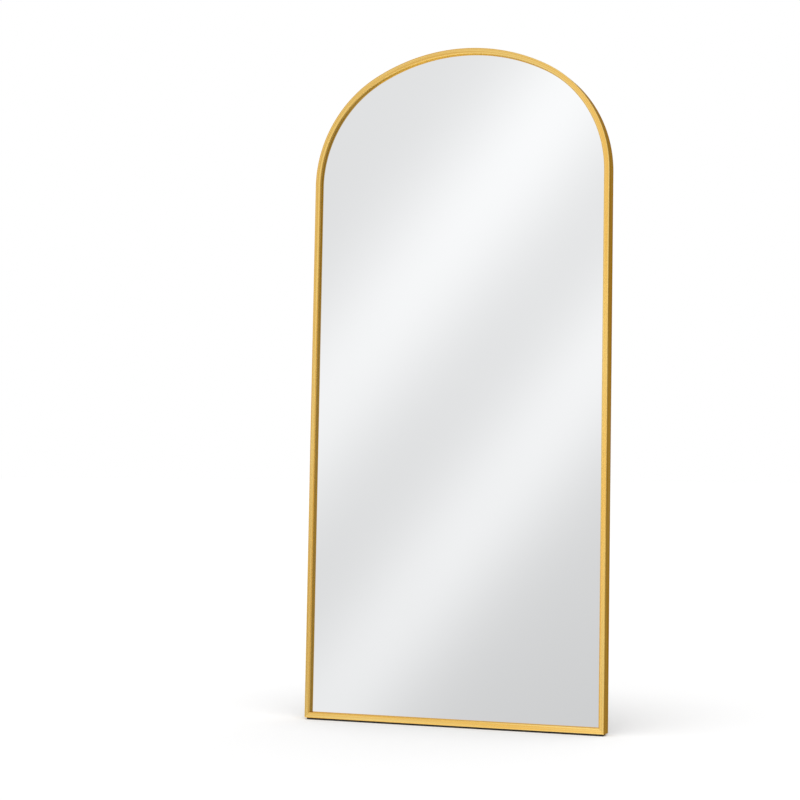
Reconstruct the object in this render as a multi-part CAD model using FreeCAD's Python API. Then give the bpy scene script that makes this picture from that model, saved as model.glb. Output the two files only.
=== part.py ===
import FreeCAD, Part
import math
import os

"""A full-length floor mirror with a basket-handle arch, in a slim brushed aluminium frame.

The mirror leans back on a rubber strip and on a tube stand that folds out of its back.
All sizes are in millimetres and all angles in degrees.

Every piece of the mirror is drawn upright first.  In that upright drawing x runs to the
right, y runs backwards from the front face of the frame, and z runs up from the underside
of the bottom rail.  lean_back() then tips each piece back and lifts it on to its strip.
"""

Vec = FreeCAD.Vector

# ---- outline of the mirror -------------------------------------------------------------
mirror_width = 835.0
mirror_height = 1800.0
arch_side_radius = 332.0      # radius of the two arcs that leave the upright sides
arch_side_sweep = 62.4        # how far each of them turns before the flatter crown takes over
lean_angle = 3.0              # how far the mirror leans back from upright

# ---- aluminium section: a hollow box in front, an outer wall, and a rib for the screws --
face_width = 15.5
frame_depth = 36.0
wall = 1.5
box_depth = 10.5
edge_round = 1.8
corner_round = 2.0            # outside the two mitred corners
rib_thickness = 3.0

# ---- what the section holds, from the front --------------------------------------------
gasket_thickness = 0.5
gasket_margin = 0.7
glass_thickness = 4.0
film_thickness = 0.3
film_margin = 0.5
board_thickness = 5.0
glass_gap = 0.5               # between the glass or board and the rib
packer_gap = 0.1
block_length = 60.0
packer_length = 30.0

# ---- screws ----------------------------------------------------------------------------
screw_diameter = 4.0
screw_head_diameter = 7.0
screw_head_height = 2.4
screw_tail = 4.0              # how far a screw comes out of the front of the rib
screw_recess_depth = 1.2
screw_recess_width = 0.9
screw_recess_length = 4.0
screw_fit = 0.05              # round a shank, in the rib
hole_fit = 0.2                # round a shank, in what the screw holds
side_gap = 0.4                # between a fitting and the outer wall

# ---- corners ---------------------------------------------------------------------------
key_leg = 40.0
key_fit = 0.1
plate_thickness = 2.0
plate_leg = 70.0
plate_width = 20.0
plate_corner = 3.0
plate_screw_near = 22.0
plate_screw_far = 58.0

# ---- clips that hold the board ---------------------------------------------------------
clip_thickness = 1.2
clip_width = 18.0
clip_reach = 24.0
clip_corner = 4.0
side_clips = 3
arch_clips = 5
top_clip_drop = 18.0          # from the spring of the arch down to the highest side clip
bottom_clip_pitch = 280.0

# ---- keyhole plates for hanging on a wall ----------------------------------------------
hanger_drop = 70.0            # from the spring of the arch down to the plate's middle
hanger_length = 60.0
hanger_width = 24.0
hanger_thickness = 1.5
hanger_corner = 2.5
hanger_offset = 6.0           # room for a screw head in front of the plate
hanger_screw_pitch = 44.0
keyhole_entry = 10.0
keyhole_slot = 5.0
keyhole_travel = 13.0

# ---- crossbar that carries the stand ---------------------------------------------------
bar_height = 30.0
bar_depth = 15.0
bar_wall = 1.5
bar_screw_pitch = 16.0
access_hole = 9.0

# ---- hinge of the stand ----------------------------------------------------------------
pin_height = 1150.0
pin_diameter = 6.0
pin_running_gap = 0.05
pin_head_diameter = 9.0
pin_head_thickness = 1.5
bracket_thickness = 2.0
bracket_width = 38.0
bracket_height = 26.0
bracket_corner = 3.0
ear_radius = 6.5
rivet_spacing = 26.0
rivet_diameter = 4.8
rivet_head_diameter = 8.0
rivet_head_height = 1.6
rivet_tail_diameter = 7.0
rivet_tail_length = 3.0
rivet_fit = 0.05
tongue_thickness = 6.0
tongue_width = 10.0
tongue_side_gap = 0.3
heel_height = 11.0
stop_gap = 0.05

# ---- stand -----------------------------------------------------------------------------
stand_rake = 9.0              # how far the open legs lean back from upright
stand_spacing = 400.0         # between the middles of the two legs
tube_diameter = 12.7
tube_wall = 1.2
tube_bend = 50.0
tube_start = 18.0             # from the pin down to the top of the tube
fold_gap = 0.65               # between the folded tube and the back of the frame
collar_length = 2.0
plug_length = 25.0
plug_fit = 0.05

# ---- feet ------------------------------------------------------------------------------
strip_thickness = 3.0         # under the back edge of the frame
strip_setback = 4.0           # from the front and back edges of the frame
strip_inset = 5.5             # from the ends of the bottom rail
strip_corner = 2.0
foot_radius = 9.5
foot_rim = 1.2
foot_length = 36.0
foot_inset = 25.0             # from the end of the straight part of the tube
foot_fit = 0.05
sole_cut = 0.6                # how much of the round foot is flat on the floor

# ---- places that follow from the sizes above -------------------------------------------
half_width = mirror_width / 2
side_centre_x = half_width - arch_side_radius
sweep = math.radians(arch_side_sweep)
crown_radius = arch_side_radius + side_centre_x / math.cos(sweep)
crown_drop = side_centre_x * math.tan(sweep)
spring_height = mirror_height - crown_radius + crown_drop
crown_centre_z = spring_height - crown_drop

rib_width = screw_head_diameter + screw_fit * 10
rib_edge = wall + rib_width
glass_inset = rib_edge + glass_gap
glass_front = box_depth + gasket_thickness
film_front = glass_front + glass_thickness
board_front = film_front + film_thickness
seat = board_front + board_thickness      # back of the board and of the rib, in one plane
rib_front = seat - rib_thickness
screw_line = wall + rib_width / 2
fitting_edge = wall + side_gap

bar_back = seat + bar_depth
bracket_back = bar_back + bracket_thickness
pin_depth = max(frame_depth + fold_gap, bracket_back) + tube_diameter / 2
bracket_gap = pin_depth - bracket_back

lean = math.radians(lean_angle)
rake = math.radians(stand_rake)
open_angle = lean_angle + stand_rake
lift = strip_thickness + frame_depth * math.sin(lean)
foot_centre = foot_radius - sole_cut
pin_z = pin_height * math.cos(lean) - pin_depth * math.sin(lean) + lift
pin_y = pin_depth * math.cos(lean) + pin_height * math.sin(lean)
leg_length = (pin_z - foot_centre) / math.cos(rake)
back_of_foot = pin_y + leg_length * math.sin(rake) + foot_radius
back_of_crown = frame_depth * math.cos(lean) + mirror_height * math.sin(lean)
shift = -max(back_of_foot, back_of_crown) / 2


# ---- small helpers ---------------------------------------------------------------------
def box(x_low, x_high, y_low, y_high, z_low, z_high):
    """A block between two corners."""
    size = (x_high - x_low, y_high - y_low, z_high - z_low)
    return Part.makeBox(*size, Vec(x_low, y_low, z_low))


def rod(radius, length, start, direction):
    """A round bar from a start point along a direction."""
    return Part.makeCylinder(radius, length, start, direction)


def prism(corners, push):
    """A straight-sided solid: a closed outline of corner points pushed along a vector."""
    return Part.Face(Part.makePolygon(corners + corners[:1])).extrude(push)


def joined(pieces):
    """One solid from pieces that touch or overlap, without seams between flush faces."""
    return pieces[0].multiFuse(pieces[1:]).removeSplitter()


def flipped(shape):
    """The mirror image of a right-hand piece, for the left-hand side."""
    return shape.mirror(Vec(0, 0, 0), Vec(1, 0, 0))


def rounded(shape, radius, axis, length):
    """A piece with its straight edges of one length, along one axis, rounded off."""
    straight = [e for e in shape.Edges if isinstance(e.Curve, Part.Line)]
    along = [e for e in straight if abs(e.Curve.Direction.dot(axis)) > 0.999]
    return shape.makeFillet(radius, [e for e in along if abs(e.Length - length) < 0.01])


def lean_back(shape):
    """An upright piece tipped back about the mirror's foot and lifted on to its strip."""
    leaned = shape.copy()
    leaned.rotate(Vec(0, 0, 0), Vec(1, 0, 0), -lean_angle)
    leaned.translate(Vec(0, shift, lift))
    return leaned


def open_out(shape):
    """A piece of the folded stand swung open about the hinge pins."""
    opened = shape.copy()
    opened.rotate(Vec(0, pin_depth, pin_height), Vec(1, 0, 0), open_angle)
    return opened


def above_floor(shape):
    """What is left of a leaned piece above the floor."""
    reach = mirror_width + mirror_height
    return shape.common(box(-reach, reach, -reach, reach, 0, reach))


def edge_place(outward):
    """The point of the arch whose outward direction makes this angle with the right."""
    angle = math.radians(outward)
    if outward < arch_side_sweep:
        centre = (side_centre_x, spring_height, arch_side_radius)
    elif outward > 180 - arch_side_sweep:
        centre = (-side_centre_x, spring_height, arch_side_radius)
    else:
        centre = (0, crown_centre_z, crown_radius)
    x, z, radius = centre
    return x + radius * math.cos(angle), z + radius * math.sin(angle), outward


def at_edge(shape, place):
    """A piece drawn on an upright right-hand edge at the origin, moved to its place."""
    x, z, outward = place
    moved = shape.copy()
    moved.rotate(Vec(0, 0, 0), Vec(0, -1, 0), outward)
    moved.translate(Vec(x, 0, z))
    return moved


# ---- places of the screws --------------------------------------------------------------
def clip_places():
    """Where the clips sit: x and z on the outline, and its outward angle there."""
    step = (pin_height - bar_height / 2 - plate_leg) / side_clips
    heights = [plate_leg + step * (i + 0.5) for i in range(side_clips)]
    heights.append(spring_height - top_clip_drop)
    places = []
    for z in heights:
        places.append((half_width, z, 0))
        places.append((-half_width, z, 180))
    for i in range(arch_clips):
        places.append(edge_place(180.0 * (i + 1) / (arch_clips + 1)))
    for x in (-bottom_clip_pitch, 0, bottom_clip_pitch):
        places.append((x, 0, -90))
    return places


def packer_places():
    """Where the side packers sit: half way between the lower clips of each side."""
    step = (pin_height - bar_height / 2 - plate_leg) / side_clips
    heights = [plate_leg + step * i for i in range(1, side_clips)]
    right = [(half_width, z, 0) for z in heights]
    left = [(-half_width, z, 180) for z in heights]
    return right + left


def corner_screw_places():
    """Two screws in each leg of each corner plate."""
    places = []
    for along in (plate_screw_near, plate_screw_far):
        places.append((half_width, along, 0))
        places.append((-half_width, along, 180))
        places.append((half_width - along, 0, -90))
        places.append((along - half_width, 0, -90))
    return places


def bar_screw_places():
    """Two screws at each end of the crossbar."""
    heights = (pin_height - bar_screw_pitch / 2, pin_height + bar_screw_pitch / 2)
    right = [(half_width, z, 0) for z in heights]
    left = [(-half_width, z, 180) for z in heights]
    return right + left


def hanger_screw_places():
    """Two screws in each keyhole plate."""
    middle = spring_height - hanger_drop
    heights = (middle - hanger_screw_pitch / 2, middle + hanger_screw_pitch / 2)
    right = [(half_width, z, 0) for z in heights]
    left = [(-half_width, z, 180) for z in heights]
    return right + left


def screw(grip):
    """A pan-head screw that clamps a fitting of thickness grip on to the rib."""
    centre = -screw_line
    back = Vec(0, 1, 0)
    tip = rib_front - screw_tail
    point = screw_diameter / 2
    head_front = seat + grip
    shank = rod(screw_diameter / 2, head_front - tip - point, Vec(centre, tip + point, 0), back)
    cone = Part.makeCone(screw_diameter / 8, screw_diameter / 2, point, Vec(centre, tip, 0), back)
    head = rod(screw_head_diameter / 2, screw_head_height, Vec(centre, head_front, 0), back)
    top = head_front + screw_head_height
    rim = [e for e in head.Edges if e.BoundBox.YMin > top - 0.01 and e.BoundBox.XLength > 1]
    head = head.makeFillet(screw_head_height / 3, rim)
    half_long = screw_recess_length / 2
    half_wide = screw_recess_width / 2
    floor = top - screw_recess_depth
    upright = box(centre - half_wide, centre + half_wide, floor, top + 1, -half_long, half_long)
    level = box(centre - half_long, centre + half_long, floor, top + 1, -half_wide, half_wide)
    return joined([shank, cone, head]).cut(upright).cut(level)


def screws(places, grip):
    """The same screw at each place, as a group of separate solids."""
    one = screw(grip)
    return Part.makeCompound([at_edge(one, place) for place in places])


def screw_hole(radius, front, back):
    """A round cutter on the screw line of an upright right-hand edge."""
    return rod(radius, back - front, Vec(-screw_line, front, 0), Vec(0, 1, 0))


def rib_holes():
    """Cutters for every screw hole in the rib of the frame."""
    radius = screw_diameter / 2 + screw_fit
    hole = screw_hole(radius, rib_front - 0.5, seat + 0.5)
    places = clip_places() + corner_screw_places() + bar_screw_places() + hanger_screw_places()
    return Part.makeCompound([at_edge(hole, place) for place in places])


# ---- frame -----------------------------------------------------------------------------
def section(point):
    """The aluminium section; point turns (distance inwards, depth) into a place."""
    r = edge_round
    bend = r * (1 - math.sqrt(0.5))
    ends = [(0, r), (r, 0), (face_width - r, 0), (face_width, r), (face_width, box_depth),
            (wall, box_depth), (wall, rib_front), (rib_edge, rib_front), (rib_edge, seat),
            (wall, seat), (wall, frame_depth), (0, frame_depth), (0, r)]
    bends = {0: (bend, bend), 2: (face_width - bend, bend)}
    edges = []
    for i in range(len(ends) - 1):
        start, end = point(*ends[i]), point(*ends[i + 1])
        if i in bends:
            edges.append(Part.Arc(start, point(*bends[i]), end).toShape())
        else:
            edges.append(Part.makeLine(start, end))
    inner = [(wall, wall), (face_width - wall, wall),
             (face_width - wall, box_depth - wall), (wall, box_depth - wall), (wall, wall)]
    hollow = Part.Face(Part.makePolygon([point(*corner) for corner in inner]))
    return Part.Face(Part.Wire(edges)).cut(hollow).Faces[0]


def mitre_cutter():
    """The wedge that the 45 degree mitre takes off the foot of the right-hand upright."""
    reach = face_width * 2
    corners = [Vec(half_width, -1, 0), Vec(half_width - reach, -1, reach),
               Vec(half_width - reach, -1, -1), Vec(half_width + 1, -1, -1)]
    return prism(corners, Vec(0, frame_depth + 2, 0))


def corner_cutter():
    """What the rounding takes off the lower right-hand corner of the frame."""
    inner = half_width - corner_round
    block = box(inner, half_width + 1, -1, frame_depth + 1, -1, corner_round)
    return block.cut(rod(corner_round, frame_depth + 2, Vec(inner, -1, corner_round), Vec(0, 1, 0)))


def frame_arch():
    """Both uprights and the arch: one length of the section, bent along the outline."""
    foot = section(lambda inward, depth: Vec(half_width - inward, depth, 0))
    towards_left = Vec(0, -1, 0)
    upright = foot.extrude(Vec(0, 0, spring_height)).cut(mitre_cutter()).cut(corner_cutter())
    spring = foot.translated(Vec(0, 0, spring_height))
    side_centre = Vec(side_centre_x, 0, spring_height)
    side = spring.revolve(side_centre, towards_left, arch_side_sweep)
    shoulder = spring.copy()
    shoulder.rotate(side_centre, towards_left, arch_side_sweep)
    crown = shoulder.revolve(Vec(0, 0, crown_centre_z), towards_left, 180 - 2 * arch_side_sweep)
    bent = joined([upright, side, crown, flipped(side), flipped(upright)])
    return bent.cut(rib_holes())


def bottom_rail():
    """The straight length of the same section between the two mitres."""
    end = section(lambda inward, depth: Vec(-half_width, depth, inward))
    straight = end.extrude(Vec(mirror_width, 0, 0))
    reach = face_width * 2
    corners = [Vec(-half_width, -1, 0), Vec(half_width, -1, 0),
               Vec(half_width - reach, -1, reach), Vec(reach - half_width, -1, reach)]
    mitred = straight.common(prism(corners, Vec(0, frame_depth + 2, 0)))
    return mitred.cut(corner_cutter()).cut(flipped(corner_cutter())).cut(rib_holes())


def corner_key():
    """The L-shaped key that joins upright and rail inside the hollow box, right side."""
    low = wall + key_fit
    high = face_width - wall - key_fit
    front = wall + key_fit
    back = box_depth - wall - key_fit
    upright = box(half_width - high, half_width - low, front, back, low, low + key_leg)
    level = box(half_width - low - key_leg, half_width - low, front, back, low, high)
    return joined([upright, level])


def corner_plate():
    """The flat angle screwed across the mitre on the ribs, right side."""
    low = fitting_edge
    back = seat + plate_thickness
    x_high = half_width - low
    upright = box(x_high - plate_width, x_high, seat, back, low, low + plate_leg)
    level = box(x_high - plate_leg, x_high, seat, back, low, low + plate_width)
    hole = screw_hole(screw_diameter / 2 + hole_fit, seat - 0.5, back + 0.5)
    places = [place for place in corner_screw_places() if place[0] > 0]
    holes = Part.makeCompound([at_edge(hole, place) for place in places])
    return rounded(joined([upright, level]), plate_corner, Vec(0, 1, 0), plate_thickness).cut(holes)


# ---- glass and what lies behind it -----------------------------------------------------
def outline_face(inset, depth):
    """The flat shape inside the mirror's outline, moved inwards by inset."""
    half = half_width - inset
    side_radius = arch_side_radius - inset
    top_radius = crown_radius - inset

    def on_arc(x, z, radius, angle):
        return Vec(x + radius * math.cos(angle), depth, z + radius * math.sin(angle))

    foot_left = Vec(-half, depth, inset)
    foot_right = Vec(half, depth, inset)
    spring_right = Vec(half, depth, spring_height)
    spring_left = Vec(-half, depth, spring_height)
    side = (side_centre_x, spring_height, side_radius)
    shoulder_right = on_arc(*side, sweep)
    middle_right = on_arc(*side, sweep / 2)
    shoulder_left = Vec(-shoulder_right.x, depth, shoulder_right.z)
    middle_left = Vec(-middle_right.x, depth, middle_right.z)
    top = Vec(0, depth, crown_centre_z + top_radius)
    edges = [Part.makeLine(foot_left, foot_right),
             Part.makeLine(foot_right, spring_right),
             Part.Arc(spring_right, middle_right, shoulder_right).toShape(),
             Part.Arc(shoulder_right, top, shoulder_left).toShape(),
             Part.Arc(shoulder_left, middle_left, spring_left).toShape(),
             Part.makeLine(spring_left, foot_left)]
    return Part.Face(Part.Wire(edges))


def sheet(inset, front, thickness):
    """A flat sheet cut to the outline."""
    return outline_face(inset, front).extrude(Vec(0, thickness, 0))


def glass_gasket():
    """The foam tape that the glass is pressed against, all the way round."""
    outer = sheet(glass_inset + gasket_margin, box_depth, gasket_thickness)
    inner = sheet(face_width - gasket_margin, box_depth, gasket_thickness)
    return outer.cut(inner)


def edge_packer(length):
    """A rubber packer between the edge of the glass and the outer wall."""
    front = box_depth + packer_gap
    back = rib_front - packer_gap
    return box(-glass_inset, -wall, front, back, -length / 2, length / 2)


def setting_blocks():
    """The two packers under the glass, which carry its weight."""
    block = edge_packer(block_length)
    places = [(side * bottom_clip_pitch / 2, 0, -90) for side in (-1, 1)]
    return Part.makeCompound([at_edge(block, place) for place in places])


def side_packers():
    """The packers that centre the glass between the uprights."""
    packer = edge_packer(packer_length)
    return Part.makeCompound([at_edge(packer, place) for place in packer_places()])


def clip():
    """A flat spring-steel clip, screwed to the rib and reaching over the board."""
    back = seat + clip_thickness
    plate = box(-clip_reach, -fitting_edge, seat, back, -clip_width / 2, clip_width / 2)
    plate = rounded(plate, clip_corner, Vec(0, 1, 0), clip_thickness)
    return plate.cut(screw_hole(screw_diameter / 2 + hole_fit, seat - 0.5, back + 0.5))


def retaining_clips():
    """The clips all round the board."""
    one = clip()
    return Part.makeCompound([at_edge(one, place) for place in clip_places()])


# ---- keyhole plates --------------------------------------------------------------------
def hanger_plate():
    """A Z-shaped plate with a keyhole, screwed to the rib of the right-hand upright."""
    middle = spring_height - hanger_drop
    low, high = middle - hanger_length / 2, middle + hanger_length / 2
    step = seat + hanger_offset
    back = step + hanger_thickness
    x_out = half_width - fitting_edge
    x_web = half_width - rib_edge
    x_in = x_web - hanger_width
    foot = box(x_web, x_out, seat, seat + hanger_thickness, low, high)
    web = box(x_web - hanger_thickness, x_web, seat, back, low, high)
    top = box(x_in, x_web, step, back, low, high)
    plate = rounded(joined([foot, web, top]), hanger_corner, Vec(0, 1, 0), hanger_thickness)
    x_key = x_web - hanger_thickness - (hanger_width - hanger_thickness) / 2
    z_key = middle - keyhole_travel / 2
    rear = Vec(0, 1, 0)
    deep = hanger_thickness + 1
    entry = rod(keyhole_entry / 2, deep, Vec(x_key, step - 0.5, z_key), rear)
    slot = box(x_key - keyhole_slot / 2, x_key + keyhole_slot / 2, step - 0.5, step - 0.5 + deep,
               z_key, z_key + keyhole_travel)
    slot_end = rod(keyhole_slot / 2, deep, Vec(x_key, step - 0.5, z_key + keyhole_travel), rear)
    hole = screw_hole(screw_diameter / 2 + hole_fit, seat - 0.5, seat + hanger_thickness + 0.5)
    places = [place for place in hanger_screw_places() if place[0] > 0]
    holes = Part.makeCompound([at_edge(hole, place) for place in places])
    return plate.cut(joined([entry, slot, slot_end])).cut(holes)


# ---- crossbar and hinge ----------------------------------------------------------------
def rivet_places():
    """Two rivets through the foot of each hinge bracket."""
    places = []
    for leg_x in (-stand_spacing / 2, stand_spacing / 2):
        for side in (-1, 1):
            places.append(Vec(leg_x + side * rivet_spacing / 2, 0, pin_height))
    return places


def rivet_holes():
    """Cutters for the rivets, through the bracket and the back wall of the crossbar."""
    radius = rivet_diameter / 2 + rivet_fit
    start = bar_back - bar_wall - 0.5
    length = bar_wall + bracket_thickness + 1
    hole = rod(radius, length, Vec(0, start, 0), Vec(0, 1, 0))
    return Part.makeCompound([hole.translated(place) for place in rivet_places()])


def crossbar():
    """The rectangular tube from rib to rib, over the board, that carries the stand."""
    half = half_width - fitting_edge
    low, high = pin_height - bar_height / 2, pin_height + bar_height / 2
    tube = rounded(box(-half, half, seat, bar_back, low, high), bar_wall, Vec(1, 0, 0), 2 * half)
    bore = box(-half - 1, half + 1, seat + bar_wall, bar_back - bar_wall,
               low + bar_wall, high - bar_wall)
    small = screw_hole(screw_diameter / 2 + hole_fit, seat - 0.5, seat + bar_wall + 0.5)
    large = screw_hole(access_hole / 2, bar_back - bar_wall - 0.5, bar_back + 0.5)
    holes = [at_edge(cutter, place) for place in bar_screw_places() for cutter in (small, large)]
    return tube.cut(bore).cut(Part.makeCompound(holes)).cut(rivet_holes())


def rivet():
    """A blind rivet: domed head behind the bracket, bulged tail inside the crossbar."""
    tail = bar_back - bar_wall - rivet_tail_length
    head = bracket_back
    crown = rivet_head_height / 4
    profile = [Vec(0, tail, 0), Vec(rivet_diameter / 2, tail, 0),
               Vec(rivet_tail_diameter / 2, tail + rivet_tail_length / 2, 0),
               Vec(rivet_tail_diameter / 2, bar_back - bar_wall, 0),
               Vec(rivet_diameter / 2, bar_back - bar_wall, 0),
               Vec(rivet_diameter / 2, head, 0), Vec(rivet_head_diameter / 2, head, 0),
               Vec(rivet_head_diameter / 2, head + crown, 0),
               Vec(rivet_diameter / 2, head + rivet_head_height, 0),
               Vec(0, head + rivet_head_height, 0)]
    face = Part.Face(Part.makePolygon(profile + profile[:1]))
    return face.revolve(Vec(0, 0, 0), Vec(0, 1, 0), 360)


def bracket_rivets():
    """All the rivets of both brackets."""
    one = rivet()
    return Part.makeCompound([one.translated(place) for place in rivet_places()])


def hinge_bracket():
    """A U-shaped steel bracket: a riveted foot and two ears that hold the pin, right side."""
    leg_x = stand_spacing / 2
    low, high = pin_height - bracket_height / 2, pin_height + bracket_height / 2
    foot = box(leg_x - bracket_width / 2, leg_x + bracket_width / 2, bar_back, bracket_back, low, high)
    inner = tongue_thickness / 2 + tongue_side_gap
    pieces = [rounded(foot, bracket_corner, Vec(0, 1, 0), bracket_thickness)]
    for start in (leg_x - inner - bracket_thickness, leg_x + inner):
        end = start + bracket_thickness
        ear_low, ear_high = pin_height - ear_radius, pin_height + ear_radius
        centre = Vec(start, pin_depth, pin_height)
        pieces.append(box(start, end, bracket_back, pin_depth, ear_low, ear_high))
        pieces.append(rod(ear_radius, bracket_thickness, centre, Vec(1, 0, 0)))
    bore = rod(pin_diameter / 2 + pin_running_gap, bracket_width,
               Vec(leg_x - bracket_width / 2, pin_depth, pin_height), Vec(1, 0, 0))
    return joined(pieces).cut(bore).cut(rivet_holes())


def hinge_pin():
    """The pin through the ears and the tongue, with a head at each end, right side."""
    half = tongue_thickness / 2 + tongue_side_gap + bracket_thickness
    centre = Vec(stand_spacing / 2 - half, pin_depth, pin_height)
    along = Vec(1, 0, 0)
    shank = rod(pin_diameter / 2, 2 * half, centre, along)
    near = rod(pin_head_diameter / 2, pin_head_thickness, centre - along * pin_head_thickness, along)
    far = rod(pin_head_diameter / 2, pin_head_thickness, centre + along * 2 * half, along)
    return joined([shank, near, far])


# ---- stand -----------------------------------------------------------------------------
def stand_tongue():
    """The hinge end of a leg: a flat eye with a heel that stops on the bracket, and a plug."""
    leg_x = stand_spacing / 2
    half = tongue_thickness / 2
    down = Vec(0, 0, -1)
    eye_radius = bracket_gap - 2 * stop_gap
    start = Vec(leg_x - half, pin_depth, pin_height)
    eye = rod(eye_radius, tongue_thickness, start, Vec(1, 0, 0))
    heel_front = bracket_back + stop_gap
    heel = box(leg_x - half, leg_x + half, heel_front, pin_depth + eye_radius / 2,
               pin_height, pin_height + heel_height)
    blade_half = tongue_width / 2
    collar_top = tube_start - collar_length
    blade = box(leg_x - half, leg_x + half, pin_depth - blade_half, pin_depth + blade_half,
                pin_height - collar_top, pin_height)
    collar = rod(tube_diameter / 2, collar_length, Vec(leg_x, pin_depth, pin_height - collar_top), down)
    plug_radius = tube_diameter / 2 - tube_wall - plug_fit
    plug = rod(plug_radius, plug_length, Vec(leg_x, pin_depth, pin_height - tube_start), down)
    leg_end = joined([blade, collar, plug])
    bore = rod(pin_diameter / 2 + pin_running_gap, tongue_thickness, start, Vec(1, 0, 0))
    return joined([open_out(leg_end), eye, heel]).cut(bore)


def stand_frame():
    """The bent steel tube of the stand: two legs and the bar between them, swung open."""
    half = stand_spacing / 2
    low = pin_height - leg_length
    top = pin_height - tube_start
    bend_z = low + tube_bend
    bend_x = half - tube_bend
    upwards = Part.Circle(Vec(half, pin_depth, bend_z), Vec(0, 0, 1), tube_diameter / 2)
    inside = Part.Circle(Vec(half, pin_depth, bend_z), Vec(0, 0, 1), tube_diameter / 2 - tube_wall)
    ring = Part.Face(Part.Wire(upwards.toShape())).cut(Part.Face(Part.Wire(inside.toShape()))).Faces[0]
    leg = ring.extrude(Vec(0, 0, top - bend_z))
    centre = Vec(bend_x, pin_depth, bend_z)
    bend = ring.revolve(centre, Vec(0, 1, 0), 90)
    bar_end = ring.copy()
    bar_end.rotate(centre, Vec(0, 1, 0), 90)
    bar = bar_end.extrude(Vec(-2 * bend_x, 0, 0))
    return open_out(joined([leg, bend, bar, flipped(bend), flipped(leg)]))


def stand_foot():
    """A rubber sleeve on the bar of the stand, before its sole is cut flat, right side."""
    low = pin_height - leg_length
    x_high = stand_spacing / 2 - tube_bend - foot_inset
    start = Vec(x_high - foot_length, pin_depth, low)
    sleeve = rod(foot_radius, foot_length, start, Vec(1, 0, 0))
    sleeve = sleeve.makeFillet(foot_rim, [e for e in sleeve.Edges if isinstance(e.Curve, Part.Circle)])
    bore = rod(tube_diameter / 2 + foot_fit, foot_length, start, Vec(1, 0, 0))
    return open_out(sleeve.cut(bore))


def floor_strip():
    """The rubber wedge along the underside of the bottom rail, before its sole is cut flat."""
    half = half_width - strip_inset
    deep = strip_thickness + frame_depth
    strip = box(-half, half, strip_setback, frame_depth - strip_setback, -deep, 0)
    return rounded(strip, strip_corner, Vec(0, 0, 1), deep)


# ---- every node ------------------------------------------------------------------------
def build():
    """Each named piece or group, leaned back in its place."""
    nodes = {
        "frame_arch": frame_arch(),
        "bottom_rail": bottom_rail(),
        "corner_plate_screws": screws(corner_screw_places(), plate_thickness),
        "glass_gasket": glass_gasket(),
        "mirror_glass": sheet(glass_inset, glass_front, glass_thickness),
        "safety_film": sheet(glass_inset + film_margin, film_front, film_thickness),
        "setting_blocks": setting_blocks(),
        "side_packers": side_packers(),
        "backing_board": sheet(glass_inset, board_front, board_thickness),
        "retaining_clips": retaining_clips(),
        "clip_screws": screws(clip_places(), clip_thickness),
        "hanger_screws": screws(hanger_screw_places(), hanger_thickness),
        "crossbar": crossbar(),
        "crossbar_screws": screws(bar_screw_places(), bar_wall),
        "bracket_rivets": bracket_rivets(),
        "stand_frame": stand_frame(),
        "floor_strip": floor_strip(),
    }
    paired = {
        "corner_key": corner_key(),
        "corner_plate": corner_plate(),
        "hanger_plate": hanger_plate(),
        "hinge_bracket": hinge_bracket(),
        "hinge_pin": hinge_pin(),
        "stand_tongue": stand_tongue(),
        "stand_foot": stand_foot(),
    }
    for name, right in paired.items():
        nodes[name + "_right"] = right
        nodes[name + "_left"] = flipped(right)
    placed = {name: lean_back(shape) for name, shape in nodes.items()}
    for name in ("stand_foot_right", "stand_foot_left", "floor_strip"):
        placed[name] = above_floor(placed[name])
    return placed


def main():
    """Write one file for each node and print what the record needs."""
    os.makedirs("parts", exist_ok=True)
    for name, shape in build().items():
        shape.exportStep("parts/" + name + ".step")
        print(name, len(shape.Solids), "solids, volume", round(shape.Volume), shape.isValid())
    folded = frame_depth + foot_radius + fold_gap - pin_depth
    fold_range = open_angle - math.degrees(math.asin(folded / leg_length))
    print("arch: crown radius %.1f, rise %.1f" % (crown_radius, mirror_height - spring_height))
    print("pin at y %.4f z %.4f, legs %.2f long" % (pin_y + shift, pin_z, leg_length))
    print("the stand folds through %.3f degrees" % fold_range)


main()
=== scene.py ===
# %% [markdown]
# # A leaning floor mirror, dressed in Blender
#
# The solids of this mirror were made in CAD and arrive as a fixed frame.  This lesson
# gives them their finishes, makes the two lengths of the gold border again so that the
# brushing can follow the bend, and sets up a small photo studio round the mirror.
#
# Every length is in metres.  x runs to the right, y runs backwards and z runs up.

# %% Tools and the fixed frame
import math

import bmesh
import bpy
import numpy as np
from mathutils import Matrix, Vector
from mathutils.geometry import tessellate_polygon


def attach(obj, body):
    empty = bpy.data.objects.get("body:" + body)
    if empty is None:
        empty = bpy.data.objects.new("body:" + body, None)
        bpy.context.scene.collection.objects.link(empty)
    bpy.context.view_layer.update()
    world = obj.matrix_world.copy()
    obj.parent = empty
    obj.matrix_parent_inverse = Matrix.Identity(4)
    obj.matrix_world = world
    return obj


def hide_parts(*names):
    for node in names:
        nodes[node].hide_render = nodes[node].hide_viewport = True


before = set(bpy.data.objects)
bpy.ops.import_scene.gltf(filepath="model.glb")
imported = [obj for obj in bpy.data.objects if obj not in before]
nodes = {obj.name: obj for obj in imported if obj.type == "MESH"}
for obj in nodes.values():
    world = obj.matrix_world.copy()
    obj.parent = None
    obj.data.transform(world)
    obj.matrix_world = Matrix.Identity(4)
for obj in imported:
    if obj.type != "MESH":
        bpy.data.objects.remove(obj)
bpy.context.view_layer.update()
print("pieces in the frame:", len(nodes))

# %% [markdown]
# ## The camera
# The photograph was taken from the right of the mirror, a little above its waist, with a
# long lens.  A camera can be placed by eye, by empties or by constraints; here its place
# and turn were worked out from the outline of the frame, so plain numbers are enough.

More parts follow.
